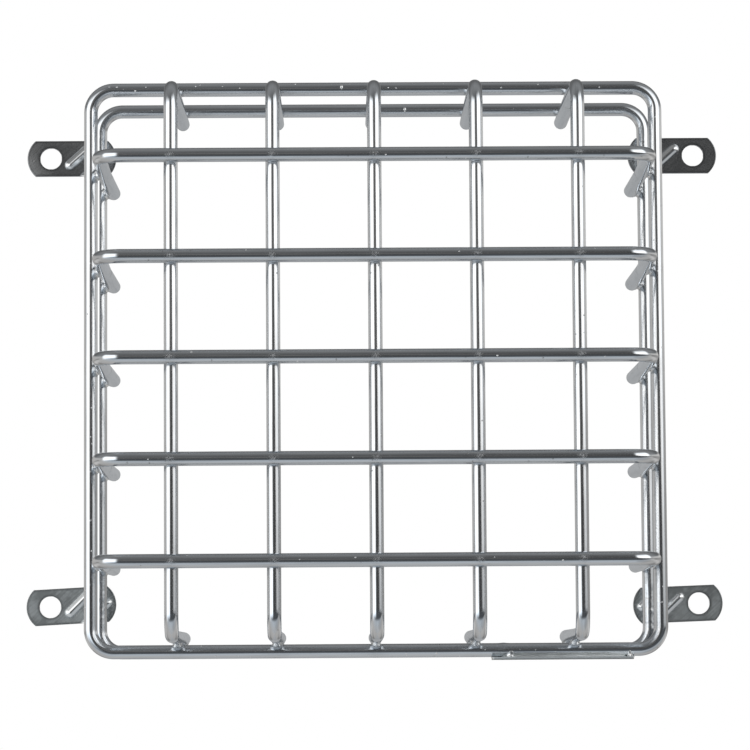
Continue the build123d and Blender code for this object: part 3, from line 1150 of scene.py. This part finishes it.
class GUARD_OT_stage(bpy.types.Operator):
    """Sets the floor, the surround, the lamps and the camera"""

    bl_idname = "guard.stage"
    bl_label = "Stage"

    def execute(self, context):
        scene, stage = context.scene, context.scene.guard_stage
        scene.view_settings.view_transform = "Standard"
        self.world(scene, stage)
        self.floor(stage)
        self.surround(stage)
        self.lamps(scene)
        self.camera(scene, stage)
        return {"FINISHED"}

    def world(self, scene, stage):
        """A soft light all round that is seen as plain white."""
        world = bpy.data.worlds.new("white_room")
        world.use_nodes = True
        tree = world.node_tree
        tree.nodes.clear()
        soft = node(tree, "ShaderNodeBackground", {"Color": WHITE, "Strength": stage.soft_light})
        white = node(tree, "ShaderNodeBackground", {"Color": WHITE, "Strength": 1.0})
        sockets = {0: seen_white(tree), 1: soft.outputs[0], 2: white.outputs[0]}
        mixed = node(tree, "ShaderNodeMixShader", sockets)
        node(tree, "ShaderNodeOutputWorld", {"Surface": mixed.outputs[0]})
        scene.world = world

    def floor(self, stage):
        """A pale floor that keeps the shadow under the guard and runs out into the white."""
        material, tree = finish_tree("pale_floor")
        matt = node(tree, "ShaderNodeBsdfDiffuse", {"Color": rgba(stage.floor_colour)})
        fill = times(tree, seen_white(tree), stage.floor_fill)
        glow = node(tree, "ShaderNodeEmission", {"Color": WHITE, "Strength": fill})
        lit = node(tree, "ShaderNodeAddShader", {0: matt.outputs[0], 1: glow.outputs[0]})
        white = node(tree, "ShaderNodeEmission", {"Color": WHITE, "Strength": seen_white(tree)})
        place = node(tree, "ShaderNodeTexCoord").outputs["Object"]
        away = node(tree, "ShaderNodeVectorMath", {0: place}, operation="LENGTH").outputs["Value"]
        sockets = {0: ranged(tree, away, *FLOOR_FADE), 1: lit.outputs[0], 2: white.outputs[0]}
        both = node(tree, "ShaderNodeMixShader", sockets)
        node(tree, "ShaderNodeOutputMaterial", {"Surface": both.outputs[0]})
        level = CAD_BOX[0].z - stage.floor_drop
        angles = np.linspace(0, 2 * math.pi, FLOOR_STEPS, endpoint=False)
        rim = [(FLOOR_RADIUS * math.cos(a), FLOOR_RADIUS * math.sin(a), level) for a in angles]
        floor = link("floor", rim, [tuple(range(FLOOR_STEPS))], material, smooth=False)
        floor.visible_glossy = False

    def surround(self, stage):
        """A globe round the guard that glows as the studio does, and that only reflections show."""
        material, tree = finish_tree("studio_surround")
        light = node(tree, "ShaderNodeEmission", {"Color": marked(tree, "glow", "Color"), "Strength": 1.0})
        node(tree, "ShaderNodeOutputMaterial", {"Surface": light.outputs["Emission"]})
        studio = Surround(stage)
        verts, glow = [], []
        for i in range(SURROUND_TALL + 1):
            up = -SURROUND_TOP + 2 * SURROUND_TOP * i / SURROUND_TALL
            for k in range(SURROUND_WIDE):
                right = -180 + 360 * k / SURROUND_WIDE
                el, az = math.radians(up), math.radians(right)
                ray = Vector((math.sin(az) * math.cos(el), -math.cos(az) * math.cos(el), math.sin(el)))
                verts.append(STUDIO_MIDDLE + SURROUND_RADIUS * ray)
                glow.append(studio.colour(ray, up, right))
        faces = band_faces(SURROUND_TALL + 1, SURROUND_WIDE)
        made = link("studio_surround", verts, faces, material)
        mark_points(made, "glow", glow, "FLOAT_COLOR", "color")
        made.visible_camera = made.visible_diffuse = made.visible_shadow = False
        made.visible_transmission = made.visible_volume_scatter = False

    def lamps(self, scene):
        """Soft lamps that light the floor and aren't seen in reflections."""
        for name, (place, size, power) in LAMPS.items():
            lamp = bpy.data.lights.new(name, "AREA")
            lamp.shape, lamp.size, lamp.energy = "SQUARE", size, power
            made = bpy.data.objects.new(name, lamp)
            scene.collection.objects.link(made)
            made.location = place
            made.rotation_euler = (LAMP_AIM - Vector(place)).to_track_quat("-Z", "Y").to_euler()
            made.visible_glossy = False

    def camera(self, scene, stage):
        """The camera at its place, pitched up, turned and rolled."""
        pitch, yaw, roll = stage.camera_turn
        ahead = Vector((math.cos(pitch) * math.sin(yaw), math.cos(pitch) * math.cos(yaw), math.sin(pitch)))
        level = Vector((math.cos(yaw), -math.sin(yaw), 0.0))
        above = level.cross(ahead)
        right = level * math.cos(roll) + above * math.sin(roll)
        up = above * math.cos(roll) - level * math.sin(roll)
        lens = bpy.data.cameras.new("camera")
        lens.sensor_width, lens.lens = SENSOR, stage.lens
        lens.clip_start, lens.clip_end = 0.01, 100.0
        made = bpy.data.objects.new("camera", lens)
        scene.collection.objects.link(made)
        facing = Matrix((right, up, -ahead)).transposed().to_4x4()
        made.matrix_world = Matrix.Translation(stage.camera_place) @ facing
        scene.camera = made


class GUARD_PT_panel(bpy.types.Panel):
    """The guard's sizes, finish and stage"""

    bl_idname = "GUARD_PT_panel"
    bl_label = "Wire guard"
    bl_space_type = "VIEW_3D"
    bl_region_type = "UI"
    bl_category = "Guard"

    def draw(self, context):
        layout = self.layout
        for operator in OPERATORS:
            layout.operator(operator.bl_idname)
        for title in ("guard_sizes", "guard_finish", "guard_stage"):
            group = getattr(context.scene, title)
            box = layout.box()
            for key in group.__annotations__:
                box.prop(group, key)


OPERATORS = (
    GUARD_OT_cross_bars, GUARD_OT_upright_bars, GUARD_OT_rings, GUARD_OT_tabs, GUARD_OT_bottom_plate,
    GUARD_OT_welds, GUARD_OT_stage,
)
CLASSES = (GuardSizes, GuardFinish, GuardStage, *OPERATORS, GUARD_PT_panel)


def register():
    for made in CLASSES:
        bpy.utils.register_class(made)
    bpy.types.Scene.guard_sizes = bpy.props.PointerProperty(type=GuardSizes)
    bpy.types.Scene.guard_finish = bpy.props.PointerProperty(type=GuardFinish)
    bpy.types.Scene.guard_stage = bpy.props.PointerProperty(type=GuardStage)


def unregister():
    del bpy.types.Scene.guard_stage
    del bpy.types.Scene.guard_finish
    del bpy.types.Scene.guard_sizes
    for made in reversed(CLASSES):
        bpy.utils.unregister_class(made)


def main():
    register()
    bpy.ops.guard.cross_bars()
    bpy.ops.guard.upright_bars()
    bpy.ops.guard.rings()
    bpy.ops.guard.tabs()
    bpy.ops.guard.bottom_plate()
    bpy.ops.guard.welds()
    bpy.ops.guard.stage()


if __name__ == "__main__":
    main()
